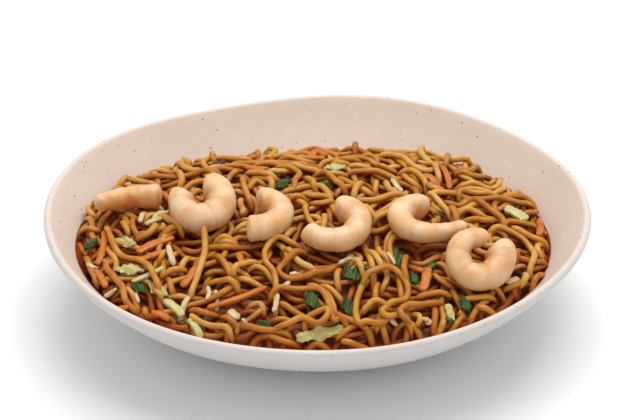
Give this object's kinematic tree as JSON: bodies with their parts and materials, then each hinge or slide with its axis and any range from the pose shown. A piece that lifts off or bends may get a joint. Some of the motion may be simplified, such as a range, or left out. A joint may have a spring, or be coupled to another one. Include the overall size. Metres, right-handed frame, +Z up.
{
  "type": "bowl of prawn noodles",
  "caption": "Wide off-round stoneware bowl heaped with fried egg noodles, curled prawns, carrot and cabbage strips and dark leaf scraps, free-standing on a flat base.",
  "frame": {"origin": "middle of the bowl's flat base, on the surface that it stands on", "axes": "+Z up out of the bowl, +X along the bowl's longer side, +Y to the bowl's back, away from the picture's camera"},
  "size_m": [0.2802, 0.2492, 0.0766],
  "materials": {
    "stoneware": "satin",
    "noodle": "satin",
    "prawn": "satin",
    "carrot": "satin",
    "cabbage": "satin",
    "greens": "satin"
  },
  "bodies": {
    "root": {"bowl": "stoneware", "noodles": "noodle", "prawn_1": "prawn", "prawn_2": "prawn", "prawn_3": "prawn", "prawn_4": "prawn", "prawn_5": "prawn", "prawn_6": "prawn", "carrot_1": "carrot", "carrot_2": "carrot", "carrot_3": "carrot", "carrot_4": "carrot", "carrot_5": "carrot", "carrot_6": "carrot", "carrot_7": "carrot", "carrot_8": "carrot", "carrot_9": "carrot", "carrot_10": "carrot", "carrot_11": "carrot", "carrot_12": "carrot", "carrot_13": "carrot", "cabbage_stem_1": "cabbage", "cabbage_stem_2": "cabbage", "cabbage_stem_3": "cabbage", "cabbage_stem_4": "cabbage", "cabbage_stem_5": "cabbage", "cabbage_stem_6": "cabbage", "cabbage_leaf_1": "cabbage", "cabbage_leaf_2": "cabbage", "cabbage_leaf_3": "cabbage", "cabbage_leaf_4": "cabbage", "cabbage_leaf_5": "cabbage", "greens_1": "greens", "greens_2": "greens", "greens_3": "greens", "greens_4": "greens", "greens_5": "greens", "greens_6": "greens", "greens_7": "greens", "greens_8": "greens", "greens_9": "greens", "greens_10": "greens"}
  },
  "joints": []
}
